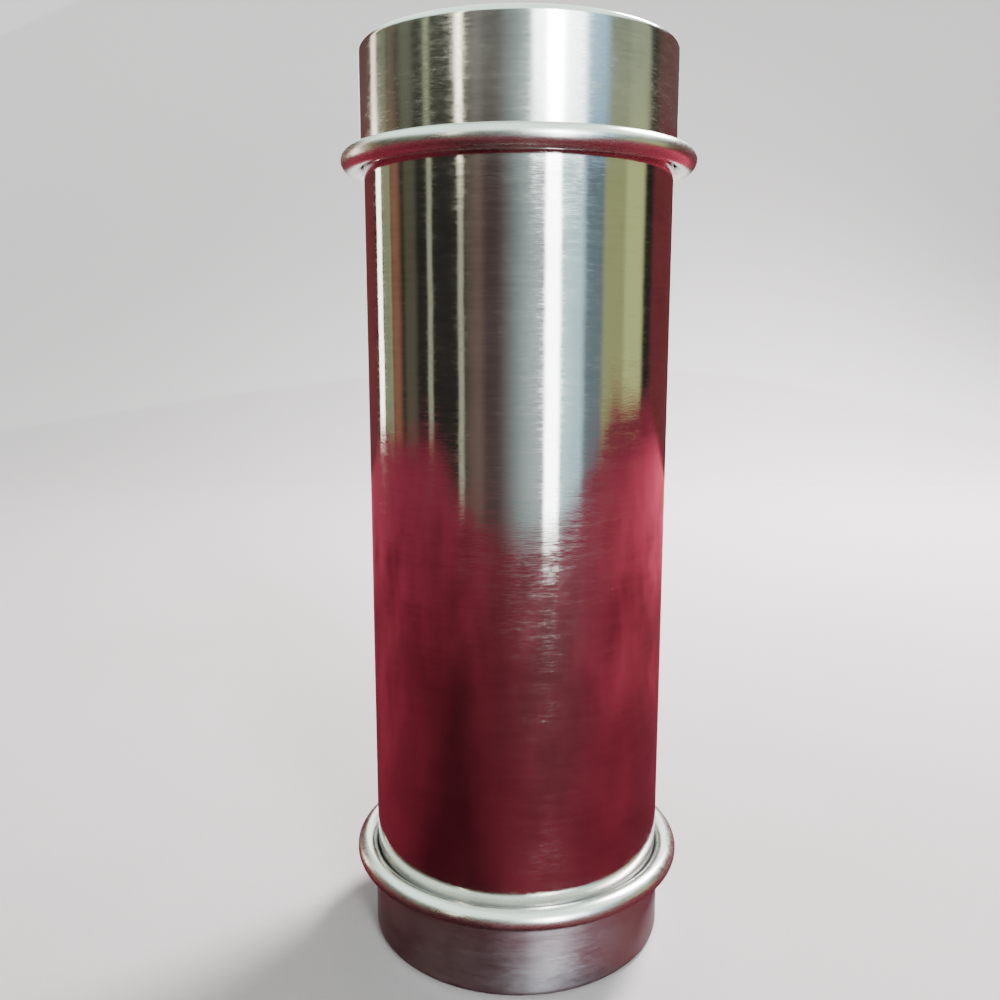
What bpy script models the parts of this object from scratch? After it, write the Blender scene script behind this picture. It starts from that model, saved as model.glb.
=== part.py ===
"""A metal puzzle cylinder: a straight tube with a rolled-rim slip cap on each end, a hidden
spin-to-open pin lock under the top cap, and a glass message vial that draws out with it.

Metres, +Z up. The origin is the centre of the underside that the cylinder stands on.
Every round piece is turned about the tube's own axis, the world Z axis, unless it is placed.
"""

import math

import bmesh
import bpy
from mathutils import Matrix, Vector

MM = 0.001

# Driving dimensions
HEIGHT = 149.7 * MM            # floor to the top cap's face
TUBE_R = 25.0 * MM             # outer radius of the tube
TUBE_WALL = 1.2 * MM
TUBE_INSET = 1.5 * MM          # from each end of the tube to the cap's outer face
SEAT_GAP = 0.3 * MM            # between faces that rest on each other
FIT = 0.1 * MM                 # radial clearance of every running and sliding fit

# Caps
CAP_SHEET = 0.36 * MM          # skirt thickness
CAP_PLATE = 0.6 * MM           # end plate thickness
CAP_EDGE_R = 1.1 * MM          # rounding of the outer edge of the end plate
RIM_R = 28.65 * MM             # largest radius of the rolled rim
BOTTOM_RIM_H = 14.8 * MM       # end face to the widest point of the rim
TOP_RIM_H = 17.5 * MM

# Cap studs, and the nuts that hold the caps on
STUD_R = 2.0 * MM
STUD_FLANGE_R = 7.0 * MM
STUD_FLANGE_T = 1.2 * MM
WASHER_R = 5.0 * MM
WASHER_T = 1.2 * MM
NUT_CORNER_R = 4.04 * MM
NUT_T = 3.0 * MM
NUT_POCKET_R = 5.5 * MM
TOP_POCKET_Z = 137.5 * MM      # floor of the nut pocket in the lock plug
BOTTOM_POCKET_Z = 5.4 * MM     # floor of the nut pocket in the bottom plug

# Lock at the top of the tube
RING_TOP_Z = 145.0 * MM
RING_H = 12.0 * MM
RING_BORE_R = 13.0 * MM
PIN_COUNT = 4
PIN_R = 1.9 * MM
PIN_LENGTH = 9.6 * MM
PIN_NOSE = 0.6 * MM            # chamfer on the pin's inner end
PIN_TILT = math.radians(10)    # the pin bores fall towards the middle
PIN_TAIL_R = 22.9 * MM         # distance of the pin's outer end from the axis, unlocked
PIN_MID_Z = 139.0 * MM         # height of a pin's axis half way through the ring
PLUG_FLANGE_R = 21.5 * MM
PLUG_FLANGE_T = 1.7 * MM
PLUG_SPIGOT_H = 6.0 * MM
PIN_GROOVE_R = 10.1 * MM
PIN_GROOVE_Z = (134.8 * MM, 141.0 * MM)
RING_GROOVE_R = 11.5 * MM
RING_GROOVE_Z = (142.3 * MM, 144.1 * MM)
O_RING_SECTION_R = 0.62 * MM

# Message vial and what it holds
VIAL_R = 12.5 * MM
VIAL_WALL = 1.5 * MM
VIAL_BOTTOM_Z = 24.0 * MM
VIAL_TOP_Z = 128.7 * MM
STOPPER_INSERT_H = 6.0 * MM
STOPPER_HEAD_H = 3.0 * MM
STOPPER_CHAMFER = 0.6 * MM
SCROLL_Z = (31.5 * MM, 118.0 * MM)
SCROLL_CORE_R = 6.0 * MM       # inner face of the innermost turn
SCROLL_TURNS = 3.5
SCROLL_PITCH = 0.9 * MM
PAPER_T = 0.4 * MM
SCROLL_FACETS = 24             # in each turn
BAND_Z = (69.0 * MM, 81.0 * MM)
BAND_T = 0.5 * MM
GUIDE_Z = (27.0 * MM, 33.0 * MM)

# Lower end of the tube
BOTTOM_PLUG_Z = (2.4 * MM, 10.4 * MM)
FELT_T = 2.0 * MM

# Grub screws that hold the lock ring and the bottom plug, hidden under the caps
SCREW_R = 1.5 * MM
SCREW_LENGTH = 5.0 * MM
SCREW_HEAD_R = 24.7 * MM       # distance of a screw's outer end from the axis
SCREW_SLOT = 0.6 * MM
SCREW_ANGLES = (math.radians(45), math.radians(225))

# Facets
FINE = 60                      # around the tube, caps and everything that fits the tube
MEDIUM = 36                    # around the lock plug, the vial and what it holds
SMALL = 16                     # around studs, pins and screws
EDGE_STEPS = 3                 # along the arcs of a cap's outline
RIM_STEPS = 9
CORNER_STEPS = 2
O_RING_STEPS = 6               # around the O-ring's section
SMOOTH_ANGLE = math.radians(35)

# Worked out from the above
TUBE_BORE_R = TUBE_R - TUBE_WALL
TUBE_TOP_Z = HEIGHT - TUBE_INSET
CAP_BORE_R = TUBE_R + FIT
CAP_R = CAP_BORE_R + CAP_SHEET
ROLL_R = (RIM_R - CAP_BORE_R) / 2      # outside of the rolled edge's own section
ROLL_END = -math.degrees(math.acos((CAP_R + SEAT_GAP - CAP_BORE_R) / ROLL_R - 1))
INSERT_R = TUBE_BORE_R - FIT
RING_BOTTOM_Z = RING_TOP_Z - RING_H
PLUG_R = RING_BORE_R - FIT
PLUG_SEAT_Z = RING_TOP_Z + SEAT_GAP
VIAL_BORE_R = VIAL_R - VIAL_WALL
STUD_BORE_R = STUD_R + FIT

# Colour, roughness and metallic value of each material
FINISHES = {
    "polished_steel": ((0.66, 0.64, 0.61), 0.16, 1.0),
    "lock_brass": ((0.72, 0.52, 0.22), 0.30, 1.0),
    "pin_steel": ((0.52, 0.53, 0.55), 0.28, 1.0),
    "dark_screw": ((0.10, 0.10, 0.11), 0.40, 1.0),
    "nylon": ((0.82, 0.80, 0.74), 0.45, 0.0),
    "black_rubber": ((0.02, 0.02, 0.02), 0.55, 0.0),
    "vial_glass": ((0.80, 0.90, 0.86), 0.05, 0.0),
    "walnut": ((0.20, 0.10, 0.05), 0.50, 0.0),
    "parchment": ((0.72, 0.58, 0.36), 0.80, 0.0),
    "red_ribbon": ((0.35, 0.02, 0.03), 0.60, 0.0),
    "green_felt": ((0.04, 0.12, 0.07), 0.95, 0.0),
}


def clear_scene():
    """Remove every object that is in the scene."""
    for obj in list(bpy.data.objects):
        bpy.data.objects.remove(obj, do_unlink=True)


def material(slot):
    """The named finish as a Principled material, made once."""
    if slot in bpy.data.materials:
        return bpy.data.materials[slot]
    colour, roughness, metallic = FINISHES[slot]
    mat = bpy.data.materials.new(slot)
    mat.use_nodes = True
    shader = mat.node_tree.nodes["Principled BSDF"]
    shader.inputs["Base Color"].default_value = (*colour, 1.0)
    shader.inputs["Roughness"].default_value = roughness
    shader.inputs["Metallic"].default_value = metallic
    return mat


def add_object(name, bm, slot=None):
    """Turn a bmesh into an object, shaded smooth away from its sharp edges."""
    bmesh.ops.recalc_face_normals(bm, faces=bm.faces)
    mesh = bpy.data.meshes.new(name)
    bm.to_mesh(mesh)
    bm.free()
    mesh.shade_smooth()
    mesh.set_sharp_from_angle(angle=SMOOTH_ANGLE)
    obj = bpy.data.objects.new(name, mesh)
    bpy.context.collection.objects.link(obj)
    if slot:
        mesh.materials.append(material(slot))
    return obj


def arc(centre, radius, start_deg, end_deg, steps):
    """Points of an arc in the (radius, height) plane, both ends included."""
    points = []
    for step in range(steps + 1):
        angle = math.radians(start_deg + (end_deg - start_deg) * step / steps)
        points.append((centre[0] + radius * math.cos(angle), centre[1] + radius * math.sin(angle)))
    return points


def turned_mesh(outline, segments):
    """Spin an outline of (radius, height) points about Z into one closed skin.

    An outline that begins and ends on the axis makes a solid; any other closes on itself
    and makes a ring.
    """
    bm = bmesh.new()
    verts = [bm.verts.new((radius, 0.0, height)) for radius, height in outline]
    edges = [bm.edges.new(pair) for pair in zip(verts, verts[1:])]
    if outline[0][0] > 0.0:
        edges.append(bm.edges.new((verts[-1], verts[0])))
    bmesh.ops.spin(bm, geom=verts + edges, cent=(0, 0, 0), axis=(0, 0, 1),
                   angle=math.tau, steps=segments, use_merge=True)
    bmesh.ops.remove_doubles(bm, verts=bm.verts, dist=0.001 * MM)
    return bm


def turned(name, outline, slot, segments=FINE):
    """A turned piece on the cylinder's own axis."""
    return add_object(name, turned_mesh(outline, segments), slot)


def band_outline(inner, outer, low, high):
    """The square section of a plain ring."""
    return [(inner, low), (outer, low), (outer, high), (inner, high)]


def cut(target, cutter):
    """Cut a hidden guide shape out of a piece."""
    cutter.hide_render = True
    cutter.display_type = "WIRE"
    boolean = target.modifiers.new("cut_" + cutter.name, "BOOLEAN")
    boolean.operation = "DIFFERENCE"
    boolean.solver = "EXACT"
    boolean.object = cutter


def radial_placement(angle, distance, height, tilt=0.0):
    """A matrix that lays local +Z inwards along a spoke, falling by tilt, from a start point."""
    inward = Vector((-math.cos(angle) * math.cos(tilt), -math.sin(angle) * math.cos(tilt),
                     -math.sin(tilt)))
    side = Vector((-math.sin(angle), math.cos(angle), 0.0))
    up = inward.cross(side)
    turn = Matrix((side, up, inward)).transposed().to_4x4()
    start = Vector((math.cos(angle) * distance, math.sin(angle) * distance, height))
    return Matrix.Translation(start) @ turn


def rod_cutter(name, radius, length, placement):
    """A round guide rod that runs from its start point along the placement's local +Z."""
    outline = [(0.0, 0.0), (radius, 0.0), (radius, length), (0.0, length)]
    rod = add_object(name, turned_mesh(outline, SMALL))
    rod.matrix_world = placement
    return rod


def joint_frame(name, parts):
    """An empty on the cylinder's axis that carries the pieces which move together."""
    empty = bpy.data.objects.new(name, None)
    bpy.context.collection.objects.link(empty)
    for part in parts:
        part.parent = empty
    return empty


def flip_height(outline):
    """Turn an outline drawn upwards from the floor into one drawn down from the top."""
    return [(radius, HEIGHT - height) for radius, height in outline]


# Outer pieces

def cap_outline(rim_h):
    """A shallow cup drawn mouth up from its end face. Its edge is rolled outwards and down
    into an open bead that stops short of the wall."""
    middle = (CAP_BORE_R + ROLL_R, rim_h)
    inner_edge_r = CAP_EDGE_R - CAP_SHEET
    edge = arc((CAP_R - CAP_EDGE_R, CAP_EDGE_R), CAP_EDGE_R, -90, 0, EDGE_STEPS)
    roll_inside = arc(middle, ROLL_R - CAP_SHEET, 180, ROLL_END, RIM_STEPS)
    roll_outside = arc(middle, ROLL_R, ROLL_END, 180, RIM_STEPS)
    corner = arc((CAP_BORE_R - inner_edge_r, CAP_PLATE + inner_edge_r), inner_edge_r, 0, -90,
                 CORNER_STEPS)
    return [(0.0, 0.0)] + edge + roll_inside + roll_outside + corner + [(0.0, CAP_PLATE)]


def make_caps():
    """The two slip caps. The lower one is the shorter."""
    bottom = turned("bottom_cap", cap_outline(BOTTOM_RIM_H), "polished_steel")
    top = turned("top_cap", flip_height(cap_outline(TOP_RIM_H)), "polished_steel")
    return bottom, top


def make_tube(screw_holes):
    """The straight outer tube, cross drilled under each cap."""
    outline = band_outline(TUBE_BORE_R, TUBE_R, TUBE_INSET, TUBE_TOP_Z)
    tube = turned("outer_tube", outline, "polished_steel")
    for hole in screw_holes:
        cut(tube, hole)
    return tube


# Cap bearings

def stud_outline(tip_height):
    """A flanged stud, drawn with its flange against the cap's end plate."""
    low = CAP_PLATE + SEAT_GAP
    high = low + STUD_FLANGE_T
    return [(0.0, low), (STUD_FLANGE_R, low), (STUD_FLANGE_R, high), (STUD_R, high),
            (STUD_R, tip_height), (0.0, tip_height)]


def make_nut(name, low):
    """A plain hexagon nut with its hole on the axis."""
    nut = add_object(name, turned_mesh([(0.0, low), (NUT_CORNER_R, low),
                                        (NUT_CORNER_R, low + NUT_T), (0.0, low + NUT_T)], 6),
                     "pin_steel")
    hole = rod_cutter(name + "_hole", STUD_BORE_R, 2 * NUT_T,
                      Matrix.Translation((0.0, 0.0, low - NUT_T / 2)))
    cut(nut, hole)
    return nut


def make_cap_bearing(end, seat, flipped):
    """Stud, washer and nut. Seat is the pocket floor's distance from the cap's outer face."""
    washer_low = seat + SEAT_GAP
    nut_low = washer_low + WASHER_T + SEAT_GAP
    tip = nut_low + NUT_T
    washer = band_outline(STUD_BORE_R, WASHER_R, washer_low, washer_low + WASHER_T)
    stud = stud_outline(tip)
    if flipped:
        washer, stud = flip_height(washer), flip_height(stud)
        nut_low = HEIGHT - tip
    return [turned(end + "_cap_stud", stud, "pin_steel", SMALL),
            turned(end + "_cap_washer", washer, "nylon", SMALL),
            make_nut(end + "_cap_nut", nut_low)]


# Lock

def pin_start(distance):
    """Height of a pin's axis at a distance from the cylinder's axis."""
    middle = (RING_BORE_R + INSERT_R) / 2
    return PIN_MID_Z + (distance - middle) * math.tan(PIN_TILT)


def pin_angles():
    """The directions that the lock pins point in."""
    return [math.tau * index / PIN_COUNT for index in range(PIN_COUNT)]


def make_lock_ring(screw_holes):
    """The ring pressed into the top of the tube, with a falling bore for each pin."""
    outline = band_outline(RING_BORE_R, INSERT_R, RING_BOTTOM_Z, RING_TOP_Z)
    ring = turned("lock_ring", outline, "lock_brass")
    for number, angle in enumerate(pin_angles(), start=1):
        place = radial_placement(angle, TUBE_R, pin_start(TUBE_R), PIN_TILT)
        cut(ring, rod_cutter("pin_bore_%d" % number, PIN_R + FIT, TUBE_R - RING_BORE_R + PIN_R,
                             place))
    for hole in screw_holes:
        cut(ring, hole)
    return ring


def make_lock_pins():
    """Loose pins that slide along their bores; each has its origin on its own axis."""
    outline = [(0.0, 0.0), (PIN_R, 0.0), (PIN_R, PIN_LENGTH - PIN_NOSE),
               (PIN_R - PIN_NOSE, PIN_LENGTH), (0.0, PIN_LENGTH)]
    pins = []
    for number, angle in enumerate(pin_angles(), start=1):
        pin = add_object("lock_pin_%d" % number, turned_mesh(outline, SMALL), "pin_steel")
        pin.matrix_world = radial_placement(angle, PIN_TAIL_R, pin_start(PIN_TAIL_R), PIN_TILT)
        pins.append(pin)
    return pins


def make_lock_plug():
    """The hub under the top cap: flange, pin groove, O-ring groove, nut pocket and spigot."""
    spigot_r = VIAL_BORE_R - FIT
    shoulder = VIAL_TOP_Z + SEAT_GAP
    spigot_end = shoulder - PLUG_SPIGOT_H
    flange_top = PLUG_SEAT_Z + PLUG_FLANGE_T
    outline = [(STUD_BORE_R, flange_top), (PLUG_FLANGE_R, flange_top),
               (PLUG_FLANGE_R, PLUG_SEAT_Z), (PLUG_R, PLUG_SEAT_Z)]
    for groove_r, (low, high) in ((RING_GROOVE_R, RING_GROOVE_Z), (PIN_GROOVE_R, PIN_GROOVE_Z)):
        outline += [(PLUG_R, high), (groove_r, high), (groove_r, low), (PLUG_R, low)]
    outline += [(PLUG_R, shoulder), (spigot_r, shoulder), (spigot_r, spigot_end),
                (NUT_POCKET_R, spigot_end), (NUT_POCKET_R, TOP_POCKET_Z),
                (STUD_BORE_R, TOP_POCKET_Z)]
    return turned("lock_plug", outline, "lock_brass", MEDIUM)


def make_o_ring():
    """The ring that damps the plug in the lock ring's bore."""
    middle = (PLUG_R - O_RING_SECTION_R, sum(RING_GROOVE_Z) / 2)
    section = arc(middle, O_RING_SECTION_R, 0, 360, O_RING_STEPS)[:-1]
    return turned("plug_o_ring", section, "black_rubber", MEDIUM)


# Vial and what it holds

def make_vial():
    """The open-ended glass vial, glued over the plug's spigot."""
    outline = band_outline(VIAL_BORE_R, VIAL_R, VIAL_BOTTOM_Z, VIAL_TOP_Z)
    return turned("message_vial", outline, "vial_glass", MEDIUM)


def make_stopper():
    """The turned wooden stopper in the vial's lower mouth."""
    head_top = VIAL_BOTTOM_Z - SEAT_GAP
    head_bottom = head_top - STOPPER_HEAD_H
    insert_r = VIAL_BORE_R - FIT
    insert_top = VIAL_BOTTOM_Z + STOPPER_INSERT_H
    outline = [(0.0, head_bottom), (VIAL_R - STOPPER_CHAMFER, head_bottom),
               (VIAL_R, head_bottom + STOPPER_CHAMFER), (VIAL_R, head_top), (insert_r, head_top),
               (insert_r, insert_top - STOPPER_CHAMFER),
               (insert_r - STOPPER_CHAMFER, insert_top), (0.0, insert_top)]
    return turned("vial_stopper", outline, "walnut", MEDIUM)


def make_scroll():
    """A sheet rolled into an open spiral, one closed strip section run up the axis."""
    steps = round(SCROLL_TURNS * SCROLL_FACETS)
    inner, outer = [], []
    for step in range(steps + 1):
        angle = math.tau * step / SCROLL_FACETS
        radius = SCROLL_CORE_R + SCROLL_PITCH * step / SCROLL_FACETS
        direction = Vector((math.cos(angle), math.sin(angle), 0.0))
        inner.append(direction * radius)
        outer.append(direction * (radius + PAPER_T))
    low, high = SCROLL_Z
    bm = bmesh.new()
    rows = [[bm.verts.new(point + Vector((0, 0, height))) for point in side]
            for height in (low, high) for side in (inner, outer)]
    inner_low, outer_low, inner_high, outer_high = rows
    for here in range(steps):
        step_on = here + 1
        for left, right in ((inner_low, outer_low), (outer_low, outer_high),
                            (outer_high, inner_high), (inner_high, inner_low)):
            bm.faces.new((left[here], left[step_on], right[step_on], right[here]))
    for end in (0, steps):
        bm.faces.new([row[end] for row in (inner_low, outer_low, outer_high, inner_high)])
    return add_object("scroll", bm, "parchment")


def make_scroll_band():
    """The ribbon band round the scroll."""
    inner = SCROLL_CORE_R + SCROLL_PITCH * SCROLL_TURNS + PAPER_T + FIT
    return turned("scroll_band", band_outline(inner, inner + BAND_T, *BAND_Z), "red_ribbon", MEDIUM)


def make_vial_guide():
    """The ring low in the tube that keeps the vial central."""
    outline = band_outline(VIAL_R + SEAT_GAP, INSERT_R, *GUIDE_Z)
    return turned("vial_guide", outline, "nylon")


# Lower end

def make_bottom_plug(screw_holes):
    """The plug pressed into the foot of the tube, with a pocket for the cap's nut."""
    low, high = BOTTOM_PLUG_Z
    outline = [(STUD_BORE_R, low), (INSERT_R, low), (INSERT_R, high), (NUT_POCKET_R, high),
               (NUT_POCKET_R, BOTTOM_POCKET_Z), (STUD_BORE_R, BOTTOM_POCKET_Z)]
    plug = turned("bottom_plug", outline, "lock_brass")
    for hole in screw_holes:
        cut(plug, hole)
    return plug


def make_floor_felt():
    """The felt disc that lies on the bottom plug, inside the tube."""
    low = BOTTOM_PLUG_Z[1] + SEAT_GAP
    outline = [(0.0, low), (INSERT_R, low), (INSERT_R, low + FELT_T), (0.0, low + FELT_T)]
    return turned("floor_felt", outline, "green_felt")


# Fasteners

def screw_hole_cutters(group, height):
    """Guide rods for the cross-drilled holes at one end of the tube."""
    start = TUBE_R + SCREW_R
    depth = start - SCREW_HEAD_R + SCREW_LENGTH + SEAT_GAP
    return [rod_cutter("%s_hole_%d" % (group, number), SCREW_R + FIT, depth,
                       radial_placement(angle, start, height))
            for number, angle in enumerate(SCREW_ANGLES, start=1)]


def make_screws(group, height):
    """Slotted grub screws, each a separate piece in its own hole."""
    outline = [(0.0, 0.0), (SCREW_R, 0.0), (SCREW_R, SCREW_LENGTH), (0.0, SCREW_LENGTH)]
    screws = []
    for number, angle in enumerate(SCREW_ANGLES, start=1):
        name = "%s_%d" % (group, number)
        place = radial_placement(angle, SCREW_HEAD_R, height)
        screw = add_object(name, turned_mesh(outline, SMALL), "dark_screw")
        screw.matrix_world = place
        bm = bmesh.new()
        bmesh.ops.create_cube(bm, size=1.0, matrix=Matrix.Diagonal(
            (4 * SCREW_R, SCREW_SLOT, 2 * SCREW_SLOT, 1.0)))
        slot = add_object(name + "_slot", bm)
        slot.matrix_world = place
        cut(screw, slot)
        screws.append(screw)
    return screws


def build():
    """Model every piece and hang the moving ones on their joints' frames."""
    clear_scene()
    ring_screw_z = (RING_TOP_Z + RING_BOTTOM_Z) / 2
    plug_screw_z = sum(BOTTOM_PLUG_Z) / 2
    ring_holes = screw_hole_cutters("ring_screw", ring_screw_z)
    plug_holes = screw_hole_cutters("plug_screw", plug_screw_z)

    bottom_cap, top_cap = make_caps()
    make_tube(ring_holes + plug_holes)
    make_lock_ring(ring_holes)
    make_screws("ring_screw", ring_screw_z)
    make_bottom_plug(plug_holes)
    make_screws("plug_screw", plug_screw_z)
    make_floor_felt()
    make_vial_guide()
    make_lock_pins()

    core = [make_lock_plug(), make_o_ring(), make_vial(), make_scroll(), make_scroll_band()]
    stopper = make_stopper()
    top_bearing = make_cap_bearing("top", HEIGHT - TOP_POCKET_Z, flipped=True)
    bottom_bearing = make_cap_bearing("bottom", BOTTOM_POCKET_Z, flipped=False)

    core_frame = joint_frame("core_slide", core)
    joint_frame("top_cap_spin", [top_cap] + top_bearing).parent = core_frame
    joint_frame("stopper_pull", [stopper]).parent = core_frame
    joint_frame("bottom_cap_spin", [bottom_cap] + bottom_bearing)


build()
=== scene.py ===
"""The looks of the puzzle cylinder: turned and polished metal, glass, wood, paper, felt and
ribbon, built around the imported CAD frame. Metres, +Z up; the cylinder's axis is world Z."""

import math

import bmesh
import bpy
from mathutils import Matrix, Vector, noise


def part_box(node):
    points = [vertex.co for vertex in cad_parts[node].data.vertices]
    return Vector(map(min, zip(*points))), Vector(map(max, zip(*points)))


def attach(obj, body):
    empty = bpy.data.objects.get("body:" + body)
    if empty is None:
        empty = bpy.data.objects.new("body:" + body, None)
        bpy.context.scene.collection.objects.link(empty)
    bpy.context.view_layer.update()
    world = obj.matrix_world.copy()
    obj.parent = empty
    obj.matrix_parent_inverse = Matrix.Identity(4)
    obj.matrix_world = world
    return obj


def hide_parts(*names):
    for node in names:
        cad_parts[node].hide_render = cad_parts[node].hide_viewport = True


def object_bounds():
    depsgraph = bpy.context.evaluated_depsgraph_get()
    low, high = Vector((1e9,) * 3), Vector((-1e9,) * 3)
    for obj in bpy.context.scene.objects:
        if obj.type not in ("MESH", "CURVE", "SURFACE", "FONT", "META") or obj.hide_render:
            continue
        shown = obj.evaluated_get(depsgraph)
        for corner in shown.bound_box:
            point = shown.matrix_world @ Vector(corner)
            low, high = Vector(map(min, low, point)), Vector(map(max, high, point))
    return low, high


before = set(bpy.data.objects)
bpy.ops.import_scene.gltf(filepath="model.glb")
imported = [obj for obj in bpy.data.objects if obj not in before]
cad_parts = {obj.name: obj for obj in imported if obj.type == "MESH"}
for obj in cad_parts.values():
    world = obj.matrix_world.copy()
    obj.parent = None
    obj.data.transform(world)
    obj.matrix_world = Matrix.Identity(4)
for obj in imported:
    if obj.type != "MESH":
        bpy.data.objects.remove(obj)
CAD_LOW, CAD_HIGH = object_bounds()

MM = 0.001
TURN = math.tau

# Sizes that a node's box doesn't give
FIT = 0.1 * MM                  # radial clearance of the running fits
TUBE_WALL = 1.2 * MM
CAP_SHEET = 0.36 * MM
CAP_PLATE = 0.6 * MM
CAP_EDGE_R = 1.1 * MM
ROLL_GAP = 0.15 * MM            # between the end of the rolled rim and the cap's wall
RING_BORE_R = 13.0 * MM         # bore of the lock ring
PIN_R = 1.9 * MM
PIN_LENGTH = 9.6 * MM
PIN_TAIL_R = 22.9 * MM          # from the axis to a pin's outer end
PIN_TILT = math.radians(10)
PLUG_FLANGE_T = 1.7 * MM
PLUG_SPIGOT_H = 6.0 * MM
PIN_GROOVE_R = 10.1 * MM
PIN_GROOVE_Z = (134.8 * MM, 141.0 * MM)
RING_GROOVE_R = 11.5 * MM
RING_GROOVE_Z = (142.3 * MM, 144.1 * MM)
O_RING_SECTION_R = 0.62 * MM
TOP_POCKET_Z = 137.5 * MM       # floors of the two nut pockets
BOTTOM_POCKET_Z = 5.4 * MM
NUT_POCKET_R = 5.5 * MM
STUD_R = 2.0 * MM
STUD_BORE_R = STUD_R + FIT
STUD_FLANGE_T = 1.2 * MM
STUD_PITCH = 0.7 * MM
STUD_THREAD_DEPTH = 0.4 * MM
NUT_THREAD_DEPTH = 0.35 * MM
SCREW_R = 1.5 * MM
SCREW_LENGTH = 5.0 * MM
SCREW_HEAD_R = 24.7 * MM        # from the axis to a grub screw's slotted end
SCREW_SLOT = 0.6 * MM
SCREW_PITCH = 0.5 * MM
SCREW_THREAD_DEPTH = 0.28 * MM
SCREW_ANGLES = (math.radians(45), math.radians(225))
VIAL_WALL = 1.5 * MM
STOPPER_HEAD_H = 3.0 * MM
SCROLL_TURNS = 3.5
SCROLL_PITCH = 0.9 * MM         # from each turn of the scroll to the next
SCROLL_CORE_R = 6.05 * MM
PAPER_T = 0.25 * MM
RIBBON_T = 0.2 * MM

# Facets of the fine meshes
ROUND = 288                     # around the pieces as wide as the tube
MIDDLE_ROUND = 144              # around the plug, the vial and what it holds
SMALL_ROUND = 60                # around studs, pins and screws


# Mesh tools

def arc(centre, radius, start_deg, end_deg, steps):
    """Points of an arc in the (radius, height) plane, both ends included."""
    points = []
    for step in range(steps + 1):
        angle = math.radians(start_deg + (end_deg - start_deg) * step / steps)
        points.append((centre[0] + radius * math.cos(angle),
                       centre[1] + radius * math.sin(angle)))
    return points


def soften(outline, radius, steps=3):
    """Round the corners of an outline, but not its ends if they lie on the axis."""
    closed = outline[0][0] > 0.0
    result = []
    for index, (r, z) in enumerate(outline):
        if not closed and index in (0, len(outline) - 1):
            result.append((r, z))
            continue
        here = Vector((r, z))
        back = Vector(outline[index - 1]) - here
        ahead = Vector(outline[(index + 1) % len(outline)]) - here
        trim = min(radius, 0.45 * back.length, 0.45 * ahead.length)
        start, end = here + back.normalized() * trim, here + ahead.normalized() * trim
        for step in range(steps + 1):
            t = step / steps
            point = start * (1 - t) ** 2 + here * 2 * t * (1 - t) + end * t ** 2
            result.append((point.x, point.y))
    return result


def band(inner, outer, low, high):
    """The square section of a plain ring."""
    return [(inner, low), (outer, low), (outer, high), (inner, high)]


def heights(start, end, step):
    """Evenly spaced values from start to end, about a step apart."""
    count = max(1, round(abs(end - start) / step))
    return [start + (end - start) * index / count for index in range(count + 1)]


def lathe(outline, segments, shape=None):
    """Spin an outline of (radius, height) points about Z into one closed skin, as a bmesh.

    An outline from axis to axis makes a solid and any other makes a ring. shape(radius,
    height, angle) gives back a new radius and height, for what isn't plainly round.
    """
    bm = bmesh.new()
    loops = []
    for r, z in outline:
        if r == 0.0:
            loops.append([bm.verts.new((0.0, 0.0, z))])
            continue
        loop = []
        for index in range(segments):
            angle = TURN * index / segments
            radius, height = shape(r, z, angle) if shape else (r, z)
            loop.append(bm.verts.new((radius * math.cos(angle), radius * math.sin(angle),
                                      height)))
        loops.append(loop)
    pairs = list(zip(loops, loops[1:]))
    if len(loops[0]) > 1:
        pairs.append((loops[-1], loops[0]))
    for near, far in pairs:
        for index in range(segments):
            after = (index + 1) % segments
            corners = (near[index % len(near)], near[after % len(near)],
                       far[after % len(far)], far[index % len(far)])
            bm.faces.new(tuple(dict.fromkeys(corners)))
    return bm


def thread(major, pitch, start, end, depth):
    """A lathe shape: a helical thread on the points at radius major, run out at both ends."""
    def shape(r, z, angle):
        if abs(r - major) > 0.01 * MM or not start < z < end:
            return r, z
        wave = abs(2 * ((z / pitch - angle / TURN) % 1.0) - 1)
        groove = min(1.0, max(0.0, 1.3 * wave - 0.15))
        fade = min(1.0, (z - start) / pitch, (end - z) / pitch)
        return r - depth * groove * fade, z
    return shape


def make_object(name, bm, materials, smooth_deg=32.0):
    """A bmesh as an object, shaded smooth away from its sharp edges."""
    bmesh.ops.recalc_face_normals(bm, faces=bm.faces)
    mesh = bpy.data.meshes.new(name)
    bm.to_mesh(mesh)
    bm.free()
    mesh.shade_smooth()
    mesh.set_sharp_from_angle(angle=math.radians(smooth_deg))
    for item in materials:
        mesh.materials.append(item)
    obj = bpy.data.objects.new(name, mesh)
    bpy.context.scene.collection.objects.link(obj)
    return obj


def turn_over(bm):
    """Turn a piece drawn up from the base over, so that it hangs from the top."""
    bmesh.ops.rotate(bm, verts=bm.verts, cent=(0, 0, CAD_HIGH.z / 2),
                     matrix=Matrix.Rotation(math.pi, 3, "X"))


def spoke(angle, distance, height, tilt=0.0):
    """A matrix that lays local +Z inwards along a spoke, falling by tilt."""
    inward = Vector((-math.cos(angle) * math.cos(tilt), -math.sin(angle) * math.cos(tilt),
                     -math.sin(tilt)))
    side = Vector((-math.sin(angle), math.cos(angle), 0.0))
    turn = Matrix((side, inward.cross(side), inward)).transposed().to_4x4()
    start = Vector((math.cos(angle) * distance, math.sin(angle) * distance, height))
    return Matrix.Translation(start) @ turn


def rod(radius, length, place):
    """A plain round cutter that runs from its place along local +Z."""
    bm = lathe([(0.0, 0.0), (radius, 0.0), (radius, length), (0.0, length)], SMALL_ROUND)
    bm.transform(place)
    return make_object("cutter", bm, [])


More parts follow.
